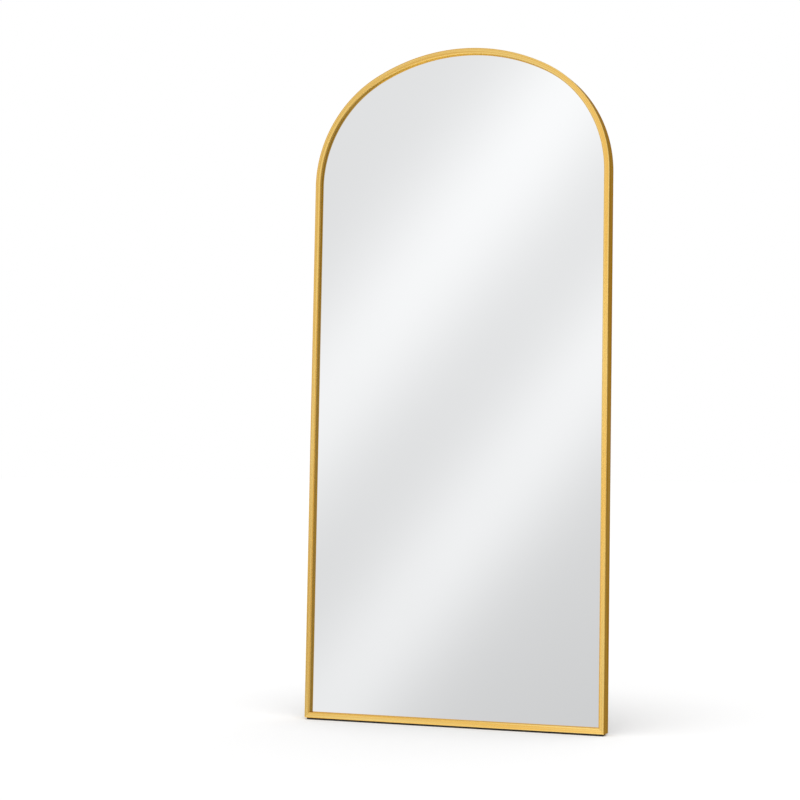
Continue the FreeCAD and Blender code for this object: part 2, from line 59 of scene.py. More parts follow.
# %% The camera
camera_place = (1.7165, -4.7623, 0.7408)
camera_turn = (91.352, 0.098, 21.891)      # degrees about x, y and z
lens_length = 84.43                        # millimetres
sensor_width = 36.0                        # millimetres
nearest_seen, furthest_seen = 0.1, 100.0
mirror_middle = (0, 0, 0.9)

view = bpy.data.cameras.new("view")
view.lens = lens_length
view.sensor_width = sensor_width
view.clip_start = nearest_seen
view.clip_end = furthest_seen
camera = bpy.data.objects.new("view", view)
camera.location = camera_place
camera.rotation_euler = [math.radians(angle) for angle in camera_turn]
bpy.context.scene.collection.objects.link(camera)
bpy.context.scene.camera = camera
print("camera:", math.dist(camera_place, mirror_middle), "metres from the mirror's middle")

# %% [markdown]
# ## Small helpers for finishes
# A finish is a node tree that ends in one Principled shader.  Trees can be drawn by hand
# in the shader editor; in a script two helpers keep them short.  One starts a finish with
# its plain numbers, and one adds a node and joins its inputs.

# %% Helpers for finishes
def linear(red, green, blue):
    """A colour as a screen shows it (0 to 255), turned into the light that it stands for.

    Each channel c of 0 to 1 becomes ((c + 0.055) / 1.055) to the power 2.4."""
    screen = np.array([red, green, blue]) / 255
    light = ((screen + 0.055) / 1.055) ** 2.4
    return (*light.tolist(), 1.0)


def start_finish(name, **plain):
    """A new material; the plain numbers go on the sockets of its Principled shader."""
    finish = bpy.data.materials.new(name)
    finish.use_nodes = True
    shader = finish.node_tree.nodes["Principled BSDF"]
    for socket, value in plain.items():
        shader.inputs[socket.replace("_", " ")].default_value = value
    return finish


def add(finish, kind, inputs=None, **settings):
    """Adds a shader node.  An input that is a socket is joined up; a number is set."""
    node = finish.node_tree.nodes.new("ShaderNode" + kind)
    for name, value in settings.items():
        setattr(node, name, value)
    for name, value in (inputs or {}).items():
        if isinstance(value, bpy.types.NodeSocket):
            finish.node_tree.links.new(value, node.inputs[name])
        else:
            node.inputs[name].default_value = value
    return node


def give(finish, socket, value):
    """Joins a value to a socket of the finish's Principled shader."""
    shader = finish.node_tree.nodes["Principled BSDF"]
    finish.node_tree.links.new(value, shader.inputs[socket])


def object_places(finish, stretch=(1, 1, 1)):
    """Places on the piece in metres, squeezed along each axis by stretch."""
    places = add(finish, "TexCoord").outputs["Object"]
    return add(finish, "Mapping", {"Vector": places, "Scale": stretch}).outputs["Vector"]


def mottle(finish, places, scale, detail=2.0, roughness=0.5):
    """Soft irregular spots of about 1 / scale metres, from 0 to 1."""
    inputs = {"Vector": places, "Scale": scale, "Detail": detail, "Roughness": roughness}
    return add(finish, "TexNoise", inputs).outputs["Fac"]


def between(finish, factor, low, high, start=0.3, end=0.7):
    """Maps a factor that runs from start to end on to low to high."""
    inputs = {"Value": factor, "From Min": start, "From Max": end,
              "To Min": low, "To Max": high}
    return add(finish, "MapRange", inputs).outputs["Result"]


def blend_of(finish, factor, first, second):
    """A colour between first, at factor 0, and second, at factor 1."""
    inputs = {0: factor, 6: first, 7: second}
    return add(finish, "Mix", inputs, data_type="RGBA").outputs[2]


def tilt_across(finish, factor, amount, uv_map):
    """A surface that leans across the u direction, by amount as the factor leaves a half.

    A normal map's green channel is the lean along v, and a half is upright."""
    green = between(finish, factor, 0.5 - amount / 2, 0.5 + amount / 2, 0, 1)
    colour = add(finish, "CombineColor", {"Red": 0.5, "Green": green, "Blue": 1.0})
    leaned_map = add(finish, "NormalMap", {"Color": colour.outputs[0]}, uv_map=uv_map)
    return leaned_map.outputs["Normal"]


def relief(finish, height, depth, under=None):
    """A bump of height 0 to 1 that stands up by depth metres."""
    inputs = {"Height": height, "Distance": depth, "Strength": 1.0}
    if under is not None:
        inputs["Normal"] = under
    return add(finish, "Bump", inputs).outputs["Normal"]


finishes = {}
print("helpers are ready")

# %% [markdown]
# ## Brushed gold aluminium
# The border is an aluminium extrusion, brushed along its length and anodised gold.
# Brushing leaves fine parallel lines, so reflections smear across the lines and stay
# sharp along them.  A picture of scratches could be wrapped round it; here a noise that is
# stretched along the bar does the same at any zoom, and the shader's anisotropy does the
# smear.  The lines need to follow the bend, so the pattern reads the piece's own UV map:
# u is the distance along the bar and v the distance round it, both in metres.  A bump
# would speckle where thin lines run aslant, so the noise leans the surface as a normal
# map does, always across the lines.

# %% Brushed gold aluminium
gold_light = linear(255, 222, 137)
gold_deep = linear(237, 182, 83)
gold_at_edges = linear(239, 200, 125)      # what a grazing look sees
streak_width = 0.004
fine_line_width = 0.0005
streak_length = 0.8
streak_start = 8.0                         # where in the noise the first streak lies
streak_lean = 0.24                         # as a slope, at the strongest streak
fine_line_share = 0.1                      # of the lean; the streaks give the rest
colour_span = (0.36, 0.64)                 # what of the noise runs from deep to light
gold_roughness = (0.22, 0.34)
smear = 0.6
quarter_turn = 0.25


def brushed_gold():
    """Gold whose colour, gloss and relief vary in streaks along u.

    A quarter turn of the anisotropy lays the smear across the streaks."""
    finish = start_finish("gold_aluminium", Metallic=1.0, Anisotropic=smear,
                          Anisotropic_Rotation=quarter_turn, Specular_Tint=gold_at_edges)
    places = add(finish, "UVMap", uv_map="along_and_round").outputs["UV"]
    wide = (1 / streak_length, 1 / streak_width, 1)
    fine = (1 / streak_length, 1 / fine_line_width, 1)
    streaks = add(finish, "Mapping", {"Vector": places, "Scale": wide,
                                      "Location": (0, streak_start, 0)}).outputs["Vector"]
    lines = add(finish, "Mapping", {"Vector": places, "Scale": fine}).outputs["Vector"]
    broad = mottle(finish, streaks, 1.0, detail=2.0)
    thin = mottle(finish, lines, 1.0, detail=2.0)
    share = between(finish, broad, 0, 1, *colour_span)
    give(finish, "Base Color", blend_of(finish, share, gold_deep, gold_light))
    give(finish, "Roughness", between(finish, broad, *gold_roughness))
    inputs = {"Factor": fine_line_share, "A": broad, "B": thin}
    mixed = add(finish, "Mix", inputs).outputs["Result"]
    give(finish, "Normal", tilt_across(finish, mixed, streak_lean, "along_and_round"))
    tangent = add(finish, "Tangent", direction_type="UV_MAP", uv_map="along_and_round")
    give(finish, "Tangent", tangent.outputs["Tangent"])
    return finish


finishes["gold_aluminium"] = brushed_gold()
print("gold streaks:", streak_width * 1000, "mm wide")

# %% [markdown]
# ## The silvered glass
# A mirror is clear glass with silver behind it.  Glass over metal could be modelled as two
# layers, but at this size they look like one near-perfect cool mirror, so one metal with
# almost no roughness is enough.  Real glass is never quite flat, and never quite clean:
# a very shallow, wide wave and a faint change in gloss keep it from looking like paint.

# %% The silvered glass
silver = linear(250, 251, 252)
silver_hazy = linear(248, 249, 250)
haze_per_metre = 3.0
haze_roughness = (0.004, 0.02)
waves_per_metre = 2.2
wave_height = 0.00004


def silvered_glass():
    """A cool mirror with a wide shallow wave and a faint haze."""
    finish = start_finish("silvered_glass", Metallic=1.0)
    places = object_places(finish)
    haze = mottle(finish, places, haze_per_metre, detail=4.0)
    give(finish, "Base Color", blend_of(finish, haze, silver, silver_hazy))
    give(finish, "Roughness", between(finish, haze, *haze_roughness))
    waves = mottle(finish, places, waves_per_metre, detail=0.0)
    give(finish, "Normal", relief(finish, waves, wave_height))
    return finish


finishes["silvered_glass"] = silvered_glass()
print("mirror reflects about", round(silver[1], 2))

# %% [markdown]
# ## Bare metals at the back
# The crossbar and the corner keys are mill-finish aluminium: faint lines from the
# extruder's die along the bar.  The plates, clips and brackets are bright zinc-plated
# steel, which has soft grey patches.  The screws and pins are plated too, but rolled and
# turned smooth, so they shine more.

# %% Bare metals at the back
mill_dark, mill_bright = linear(196, 198, 200), linear(224, 225, 226)
die_lines_per_metre = (6, 1500, 1500)      # along x, y and z
clouds_per_metre = 25.0
die_line_height = 0.00002
mill_roughness = (0.28, 0.45)

zinc_bright, zinc_grey = linear(206, 209, 214), linear(178, 181, 188)
zinc_patches_per_metre = 260.0
zinc_grains_per_metre = 1800.0
zinc_grain_height = 0.00001
zinc_roughness = (0.22, 0.42)
patch_span = (0.1, 0.8)                    # how far from a patch's middle to its edge

screw_bright, screw_yellowed = linear(214, 212, 205), linear(190, 188, 180)
casts_per_metre = 140.0
screw_grains_per_metre = 2500.0
screw_grain_height = 0.000006
screw_roughness = (0.16, 0.3)


def mill_aluminium():
    """Pale grey metal with faint lines along x."""
    finish = start_finish("mill_aluminium", Metallic=1.0)
    lines = mottle(finish, object_places(finish, die_lines_per_metre), 1.0, detail=3.0)
    cloud = mottle(finish, object_places(finish), clouds_per_metre, detail=3.0)
    give(finish, "Base Color", blend_of(finish, cloud, mill_dark, mill_bright))
    give(finish, "Roughness", between(finish, lines, *mill_roughness))
    give(finish, "Normal", relief(finish, lines, die_line_height))
    return finish


def zinc_steel():
    """Bright zinc: soft grey patches a few millimetres across, and a fine grain."""
    finish = start_finish("zinc_steel", Metallic=1.0)
    places = object_places(finish)
    inputs = {"Vector": places, "Scale": zinc_patches_per_metre}
    patch = add(finish, "TexVoronoi", inputs, feature="SMOOTH_F1").outputs["Distance"]
    grain = mottle(finish, places, zinc_grains_per_metre, detail=2.0)
    give(finish, "Base Color", blend_of(finish, patch, zinc_bright, zinc_grey))
    give(finish, "Roughness", between(finish, patch, *zinc_roughness, *patch_span))
    give(finish, "Normal", relief(finish, grain, zinc_grain_height))
    return finish


def screw_steel():
    """Smooth plated steel with a slight yellow cast."""
    finish = start_finish("screw_steel", Metallic=1.0)
    places = object_places(finish)
    cast = mottle(finish, places, casts_per_metre, detail=3.0)
    give(finish, "Base Color", blend_of(finish, cast, screw_bright, screw_yellowed))
    give(finish, "Roughness", between(finish, cast, *screw_roughness))
    grain = mottle(finish, places, screw_grains_per_metre)
    give(finish, "Normal", relief(finish, grain, screw_grain_height))
    return finish


finishes["mill_aluminium"] = mill_aluminium()
finishes["zinc_steel"] = zinc_steel()
finishes["screw_steel"] = screw_steel()
print("bare metals:", list(finishes)[2:])

# %% [markdown]
# ## Black finishes
# The stand is powder-coated steel: the powder melts into a skin with tiny soft lumps, like
# orange peel.  The strip under the mirror, the feet and the packers are rubber, which is
# duller and greyer, with a fine moulded grain and a little dust.

# %% Black finishes
powder_dark, powder_rubbed = linear(27, 27, 29), linear(44, 44, 46)
peel_per_metre = 700.0
rubs_per_metre = 30.0
peel_height = 0.00006
powder_roughness = (0.36, 0.5)

rubber_dark, rubber_dusty = linear(34, 33, 32), linear(58, 56, 54)
dust_per_metre = 60.0
rubber_grains_per_metre = 2200.0
rubber_grain_height = 0.00003
rubber_roughness = (0.7, 0.9)
dust_span = (0.45, 0.8)                    # what of the noise runs from clean to dusty


def black_steel():
    """Satin black with an orange-peel relief: soft lumps about 1.5 mm across."""
    finish = start_finish("black_steel", Metallic=0.0, Coat_Weight=0.15, Coat_Roughness=0.3)
    places = object_places(finish)
    peel = mottle(finish, places, peel_per_metre, detail=1.5)
    rub = mottle(finish, places, rubs_per_metre, detail=5.0)
    give(finish, "Base Color", blend_of(finish, rub, powder_dark, powder_rubbed))
    give(finish, "Roughness", between(finish, rub, *powder_roughness))
    give(finish, "Normal", relief(finish, peel, peel_height))
    return finish


def black_rubber():
    """Dull dark grey with a fine grain and dusty patches."""
    finish = start_finish("black_rubber", Metallic=0.0)
    places = object_places(finish)
    dust = mottle(finish, places, dust_per_metre, detail=6.0, roughness=0.7)
    grain = mottle(finish, places, rubber_grains_per_metre, detail=2.0)
    share = between(finish, dust, 0, 1, *dust_span)
    give(finish, "Base Color", blend_of(finish, share, rubber_dark, rubber_dusty))
    give(finish, "Roughness", between(finish, dust, *rubber_roughness))
    give(finish, "Normal", relief(finish, grain, rubber_grain_height))
    return finish


finishes["black_steel"] = black_steel()
finishes["black_rubber"] = black_rubber()
print("black finishes: stand, strip, feet and packers")

# %% [markdown]
# ## The board, the film and the foam tape
# The back is a sheet of dark hardboard.  It is pressed against a wire screen, which leaves
# a fine waffle on its rough side, and its fibres show as flecks.  Behind the glass is a
# thin white film that would hold the pieces of a broken mirror, and the glass is bedded on
# grey foam tape with a fine open grain.

# %% The board, the film and the foam tape
screen_pitch = 0.0016
waffle_height = 0.00012
fibres_per_metre = (420, 420, 130)         # along x, y and z
fibre_height = 0.00008
board_patches_per_metre = 6.0
fibre_dark, fibre_light = linear(62, 49, 39), linear(104, 85, 67)
fibre_span = (0.35, 0.65)                  # what of the noise runs from dark to light
board_worn = linear(99, 84, 70)
most_worn = 0.7
wear_span = (0.4, 0.7)
board_roughness = (0.66, 0.85)

film_dull, film_clean = linear(232, 233, 232), linear(242, 243, 242)
ripples_per_metre = 90.0
ripple_height = 0.0001
film_roughness = (0.3, 0.45)

foam_in_cells, foam_between_cells = linear(112, 112, 114), linear(150, 150, 152)
cells_per_metre = 2500.0
cell_depth = 0.0001
foam_roughness = (0.8, 0.95)


def hardboard():
    """Dark brown board: fibre flecks, slow patches and the waffle of the screen.

    The waffle's height is the sine of x times the sine of z, each over the pitch."""
    finish = start_finish("hardboard", Metallic=0.0)
    places = object_places(finish)
    fibres = mottle(finish, object_places(finish, fibres_per_metre), 1.0,
                    detail=6.0, roughness=0.7)
    patches = mottle(finish, places, board_patches_per_metre, detail=8.0, roughness=0.65)
    split = add(finish, "SeparateXYZ", {"Vector": places})
    waves = []
    for axis in ("X", "Z"):
        turn = add(finish, "Math", {0: split.outputs[axis], 1: 2 * math.pi / screen_pitch},
                   operation="MULTIPLY").outputs[0]
        waves.append(add(finish, "Math", {0: turn}, operation="SINE").outputs[0])
    waffle = add(finish, "Math", {0: waves[0], 1: waves[1]},
                 operation="MULTIPLY").outputs[0]
    base = blend_of(finish, between(finish, fibres, 0, 1, *fibre_span),
                    fibre_dark, fibre_light)
    wear = between(finish, patches, 0, most_worn, *wear_span)
    give(finish, "Base Color", blend_of(finish, wear, base, board_worn))
    give(finish, "Roughness", between(finish, fibres, *board_roughness))
    waffled = relief(finish, waffle, waffle_height)
    give(finish, "Normal", relief(finish, fibres, fibre_height, waffled))
    return finish


def white_film():
    """Semi-gloss white plastic with a slight ripple."""
    finish = start_finish("white_film", Metallic=0.0)
    ripple = mottle(finish, object_places(finish), ripples_per_metre, detail=2.0)
    give(finish, "Base Color", blend_of(finish, ripple, film_dull, film_clean))
    give(finish, "Roughness", between(finish, ripple, *film_roughness))
    give(finish, "Normal", relief(finish, ripple, ripple_height))
    return finish


def foam_tape():
    """Grey foam: small open cells."""
    finish = start_finish("foam_tape", Metallic=0.0)
    inputs = {"Vector": object_places(finish), "Scale": cells_per_metre}
    cell = add(finish, "TexVoronoi", inputs).outputs["Distance"]
    give(finish, "Base Color", blend_of(finish, cell, foam_in_cells, foam_between_cells))
    give(finish, "Roughness", between(finish, cell, *foam_roughness, 0, 1))
    give(finish, "Normal", relief(finish, cell, cell_depth))
    return finish


finishes["hardboard"] = hardboard()
finishes["white_film"] = white_film()
finishes["foam_tape"] = foam_tape()
print("finishes in all:", len(finishes))

# %% [markdown]
# ## Finishes on the CAD pieces
# Each CAD piece arrives with a plain material that has the name of its finish.  The shape
# stays as it is, and only the material in its slot changes.

# %% Finishes on the CAD pieces
for name, piece in nodes.items():
    wanted = piece.material_slots[0].material.name.split(".")[0]
    piece.material_slots[0].material = finishes[wanted]
    print(name, "->", wanted)

# %% [markdown]
# ## The outline of the gold border
# The border is drawn upright first: a point has a place on the outline, a distance
# inwards from it, and a depth behind the front face.  The whole mirror then leans back.
# The outline is the two sides, two arcs that start the arch, and one flatter arc across
# the crown.  It could be drawn as a curve; as a function of the distance along it, each
# point also knows which way is outwards, so the section stays square to the bar.

# %% The outline of the gold border
half_width = 0.4175
height = 1.8
side_radius = 0.332
side_sweep = math.radians(62.4)
lean = math.radians(3.0)
foot_y = -0.1470856
foot_z = 0.0048841
arch_points = 361

side_centre_x = half_width - side_radius
crown_radius = side_radius + side_centre_x / math.cos(side_sweep)
spring = height - crown_radius + side_centre_x * math.tan(side_sweep)
crown_centre_z = height - crown_radius


def leaned(x, depth, up):
    """An upright place tipped back by the lean and set down on the floor strip.

    y is depth times the cosine plus height times the sine; z is height times the cosine
    less depth times the sine; both are then shifted to the foot."""
    y = depth * math.cos(lean) + up * math.sin(lean) + foot_y
    z = up * math.cos(lean) - depth * math.sin(lean) + foot_z
    return np.stack(np.broadcast_arrays(x, y, z), axis=-1)


def arch_stations():
    """Places and outward angles over the arch, from the right spring to the left.

    The angle runs from 0 to 180 degrees.  A point is its arc's centre plus the radius
    times the cosine and the sine of the angle."""
    angle = np.linspace(0, math.pi, arch_points)
    right = angle < side_sweep
    left = angle > math.pi - side_sweep
    centre_x = np.where(right, side_centre_x, np.where(left, -side_centre_x, 0))
    centre_z = np.where(right | left, spring, crown_centre_z)
    radius = np.where(right | left, side_radius, crown_radius)
    return centre_x + radius * np.cos(angle), centre_z + radius * np.sin(angle), angle


arch_x, arch_z, arch_angle = arch_stations()
print("the arch rises", round(height - spring, 4), "m over", round(2 * half_width, 3), "m")

# %% [markdown]
# ## The aluminium section
# Cut across, the extrusion is a small hollow box in front, a thin wall that runs back from
# it, and a rib on that wall that takes the screws.  The two front edges are rounded.  The
# section is a closed line of points, and a second closed line is the hollow.

# %% The aluminium section
face_width = 0.0155
section_depth = 0.036
wall = 0.0015
box_depth = 0.0105
edge_radius = 0.0018
rib_edge = 0.009
rib_front = 0.0173
rib_back = 0.0203
corner_radius = 0.002
edge_points = 7                            # round one front edge
longest_step = 0.0015


def straight(points, step=longest_step):
    """Points along a broken line, so that long faces have more than two points across."""
    runs = []
    for start, end in zip(points[:-1], points[1:]):
        count = max(1, round(math.dist(start, end) / step))
        share = np.arange(count)[:, None] / count
        runs.append(np.array(start) + share * (np.array(end) - np.array(start)))
    return np.concatenate(runs + [np.array(points[-1:])])


def outer_section():
    """The outside of the extrusion as (inward, depth) points, in a closed ring.

    Round an edge, a point lies off the radius by the radius times the cosine and sine."""
    turn = np.linspace(0, math.pi / 2, edge_points)
    front_outer = np.stack([edge_radius - edge_radius * np.cos(turn),
                            edge_radius - edge_radius * np.sin(turn)], 1)
    turn = np.linspace(math.pi / 2, 0, edge_points)
    front_inner = np.stack([face_width - edge_radius + edge_radius * np.cos(turn),
                            edge_radius - edge_radius * np.sin(turn)], 1)
    face = straight([tuple(front_outer[-1]), tuple(front_inner[0])])[1:-1]
    rest = straight([(face_width, edge_radius), (face_width, box_depth), (wall, box_depth),
                     (wall, rib_front), (rib_edge, rib_front), (rib_edge, rib_back),
                     (wall, rib_back), (wall, section_depth), (0, section_depth),
                     (0, edge_radius)])[1:-1]
    return np.concatenate([front_outer, face, front_inner, rest])


def hollow_section():
    """The hollow of the box as (inward, depth) points, in a closed ring."""
    low, high = wall, face_width - wall
    return straight([(low, wall), (high, wall), (high, box_depth - wall),
                     (low, box_depth - wall), (low, wall)])[:-1]


outside, hollow = outer_section(), hollow_section()
print("points round the section:", len(outside), "and round its hollow:", len(hollow))

# %% [markdown]
# ## Carrying the section along the bar
# Both gold lengths are the same section carried along a path, so one function makes them.
# The ends are mitred at 45 degrees: a point that lies further inwards starts further up
# the bar by the same amount.  The outside corners of the finished border are eased with
# a small radius, so points closer to a corner than that are drawn on to its circle.

# %% Carrying the section along the bar
corner_share = 0.0018                      # of a bar, with points close together
corner_points = 7
side_share = 0.004                         # where the even points of the rest begin
side_points = 120
sharp_from = math.radians(30)
seam_share = 0.6                           # a wider step round the ring closes it
corner_set_in = corner_radius * (1 - math.sqrt(0.5))   # where the mitre meets the circle


def eased(inward, along):
    """How far inwards a point has to be at a distance along from the corner.

    On the corner's circle it is the radius less the root of radius squared minus the
    square of what is left to the end of the circle."""
    left = np.clip(corner_radius - along, 0, corner_radius)
    return np.maximum(inward, corner_radius - np.sqrt(corner_radius ** 2 - left ** 2))


def foot_stations():
    """Shares of the first stretch of a bar, close together at the corner."""
    return np.concatenate([np.linspace(0, corner_share, corner_points),
                           np.linspace(side_share, 1, side_points)])


def upright_grid(ring):
    """The ring carried up the right side, over the arch and down the left side.

    On a side, the height is the mitre's height plus a share of what is left to the
    spring; on the arch, a point is moved inwards against its outward direction."""
    inward, depth = ring[:, 0], ring[:, 1]
    mitre = np.maximum(inward, corner_set_in)
    up = mitre + foot_stations()[:, None] * (spring - mitre)
    side_in = eased(inward, up)
    side_x = half_width - side_in
    cos, sin = np.cos(arch_angle)[1:-1, None], np.sin(arch_angle)[1:-1, None]
    bend_x = arch_x[1:-1, None] - inward * cos
    bend_up = arch_z[1:-1, None] - inward * sin
    x = np.concatenate([side_x, bend_x, -side_x[::-1]])
    z = np.concatenate([up, bend_up, up[::-1]])
    return leaned(x, np.broadcast_to(depth, x.shape), z)


def rail_grid(ring):
    """The ring carried along the bottom from the left mitre to the right one."""
    inward, depth = ring[:, 0], ring[:, 1]
    mitre = np.maximum(inward, corner_set_in)
    along = mitre + foot_stations()[:, None] * (half_width - mitre)
    up = eased(inward, along)
    x = np.concatenate([along - half_width, (half_width - along)[-2::-1]])
    z = np.concatenate([up, up[-2::-1]])
    return leaned(x, np.broadcast_to(depth, x.shape), z)


def ring_faces(rows, columns, first):
    """Four-sided faces between neighbouring rings, each ring closed on itself."""
    index = first + np.arange(rows * columns).reshape(rows, columns)
    beside = np.roll(index, -1, axis=1)
    return np.stack([index[:-1], beside[:-1], beside[1:], index[1:]], -1).reshape(-1, 4)


def cap_faces(outer_ring, inner_ring, outer_first, inner_first):
    """Triangles over the cut end of the hollow section."""
    rings = [[Vector(p) for p in outer_ring], [Vector(p) for p in inner_ring]]
    names = np.concatenate([outer_first + np.arange(len(outer_ring)),
                            inner_first + np.arange(len(inner_ring))])
    return names[np.array(tessellate_polygon(rings))]


def bar_piece(name, grid_of):
    """A closed hollow bar with its UV map in metres along and round the section."""
    outer, inner = grid_of(outside), grid_of(hollow)
    rows, columns = outer.shape[:2]
    start = rows * columns
    points = np.concatenate([outer.reshape(-1, 3), inner.reshape(-1, 3)])
    faces = [ring_faces(rows, columns, 0), ring_faces(rows, inner.shape[1], start)]
    ends = []
    for row in (0, rows - 1):
        ends.append(cap_faces(outer[row], inner[row], row * columns,
                              start + row * inner.shape[1]))
    mesh = bpy.data.meshes.new(name)
    mesh.from_pydata(points.tolist(), [],
                     [face for part in faces + ends for face in part.tolist()])
    # distance along the bar and round the section, for every corner of every face
    along = np.concatenate([distance_along(outer), distance_along(inner)])
    around = np.concatenate([distance_round(outer), distance_round(inner)])
    uv = mesh.uv_layers.new(name="along_and_round")
    corner = np.zeros(len(mesh.loops), dtype=np.int32)
    mesh.loops.foreach_get("vertex_index", corner)
    uv.data.foreach_set("uv", unwrapped(mesh, corner, along, around).ravel())
    work = bmesh.new()
    work.from_mesh(mesh)
    bmesh.ops.recalc_face_normals(work, faces=work.faces)
    work.to_mesh(mesh)
    work.free()
    mesh.shade_smooth()
    mesh.set_sharp_from_angle(angle=sharp_from)
    piece = bpy.data.objects.new(name, mesh)
    bpy.context.scene.collection.objects.link(piece)
    mesh.materials.append(finishes["gold_aluminium"])
    return piece


def distance_along(grid):
    """For each point, the length of the bar's outer line up to its ring."""
    steps = np.linalg.norm(np.diff(grid[:, 0], axis=0), axis=1)
    total = np.concatenate([[0], np.cumsum(steps)])
    return np.repeat(total, grid.shape[1])


def distance_round(grid):
    """For each point, the distance round the section from its first point."""
    middle = grid[len(grid) // 2]
    steps = np.linalg.norm(np.diff(middle, axis=0), axis=1)
    total = np.concatenate([[0], np.cumsum(steps)])
    return np.tile(total, len(grid))


def unwrapped(mesh, corner, along, around):
    """UVs for each face corner; a face that closes the ring reaches past its last point."""
    uv = np.stack([along[corner], around[corner]], 1)
    sizes = np.array([p.loop_total for p in mesh.polygons])
    face = np.repeat(np.arange(len(sizes)), sizes)
    top = np.full(len(sizes), -np.inf)
    np.maximum.at(top, face, uv[:, 1])
    jump = (top[face] - uv[:, 1]) > around.max() * seam_share
    uv[jump, 1] += around.max()
    return uv.astype(np.float32)


gold_arch = bar_piece("gold_arch", upright_grid)
gold_rail = bar_piece("gold_rail", rail_grid)
for piece, node in ((gold_arch, "frame_arch"), (gold_rail, "bottom_rail")):
    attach(piece, "mirror")
    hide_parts(node)

# %% [markdown]
# ## The floor
# The mirror stands on a seamless pale floor.  A curved paper sweep could be modelled, but
# a wide flat sheet under a white sky looks the same.  It is kept out of the mirror's
# reflection, as a photographer would by raising a card in front of it.

# %% The floor
floor_half = 30.0
floor_points = 13                          # along each side
floor_dark, floor_pale = linear(248, 248, 248), linear(250, 250, 250)
floor_roughness = 0.9
teeth_per_metre = 400.0


def flat_grid(name, half, count):
    """A flat square in the floor plane: two parameters from -half to half, height 0."""
    side = np.linspace(-half, half, count)
    x, y = np.meshgrid(side, side, indexing="ij")
    points = np.stack([x, y, np.zeros_like(x)], -1).reshape(-1, 3)
    index = np.arange(count * count).reshape(count, count)
    faces = np.stack([index[:-1, :-1], index[1:, :-1], index[1:, 1:], index[:-1, 1:]], -1)
    mesh = bpy.data.meshes.new(name)
    mesh.from_pydata(points.tolist(), [], faces.reshape(-1, 4).tolist())
    sheet = bpy.data.objects.new(name, mesh)
    bpy.context.scene.collection.objects.link(sheet)
    return sheet


def pale_floor():
    """Matt white paint with a very fine tooth."""
    finish = start_finish("pale_floor", Metallic=0.0, Roughness=floor_roughness)
    shader = finish.node_tree.nodes["Principled BSDF"]
    shader.inputs["Specular IOR Level"].default_value = 0.0
    tooth = mottle(finish, object_places(finish), teeth_per_metre)
    give(finish, "Base Color", blend_of(finish, tooth, floor_dark, floor_pale))
    return finish


floor = flat_grid("floor", floor_half, floor_points)
floor.data.materials.append(pale_floor())
floor.visible_glossy = False
print("floor:", floor.dimensions.x, "m across")

# %% [markdown]
# ## The studio wall
# A mirror shows the studio, so the studio decides how it looks.  In the photograph two
# soft diagonal bands of light cross the glass, and the sides of the frame that face right
# are darker, because that half of the studio is dim.  One tall curved wall does both.  It
# is seen only in reflections.  How brightly it glows is worked out for every point of its
# grid and kept as an attribute, which its material reads.

# %% The glow of the studio wall
wall_radius = 6.0
band_slope = math.radians(-36.4)

# a band: how much it adds, its place across the slope and its half width, in metres
first_band = (0.197, -3.27, 0.405)
second_band = (0.19, -2.12, 0.358)
dim_band = (0.22, 1.3, 0.7)

# a zone: where it starts to rise, is full, starts to fall and is gone
left_zone = (28, 38, 55, 80)               # degrees to the left of straight ahead
strip_zone = (-11.6, -9.4, -8, -3)         # degrees to the right
dim_zone = (5, 16, 186, 206)               # degrees to the right
high_zone = (4.0, 6.0, 9.0, 12.0)          # metres up

# a step: how much the wall glows there, and from where to where the step is taken
ground_glow, ground_drop, drop_across = 0.766, 0.10, (-3.0, -0.2)
lowest_share, share_gain, gain_along = 0.92, 0.125, (-2.9, 2.2)
left_glow, left_gain, left_gain_up = 0.4, 0.35, (-0.3, 2.5)
under_glow, under_down = 1.35, (0.5, 1.4)
strip_glow, strip_fade, fade_up = 1.25, 0.65, (1.6, 3.4)
past_strip = 0.08
foot_glow, foot_down, foot_turn = 0.2, (0.3, 1.1), (-12.5, -6)
dim_glow, dim_gain, dim_gain_turn = 0.23, 0.14, (30, 60)
high_glow = 0.66


def step_up(value, start, end):
    """0 below start, 1 above end, and 3 s squared less 2 s cubed in between."""
    share = np.clip((value - start) / (end - start), 0, 1)
    return share * share * (3 - 2 * share)


def zone(value, rise, full, fall, gone):
    """1 between full and fall, 0 before rise and after gone: one step up times one down."""
    return step_up(value, rise, full) * (1 - step_up(value, fall, gone))


def band(across, gain, place, half_wide):
    """A bell: the gain times e to the minus square of the distance over the half width."""
    return gain * np.exp(-((across - place) / half_wide) ** 2)


def toward(glow, target, share):
    """The glow moved by a share of the way to the target."""
    return glow + (target - glow) * share


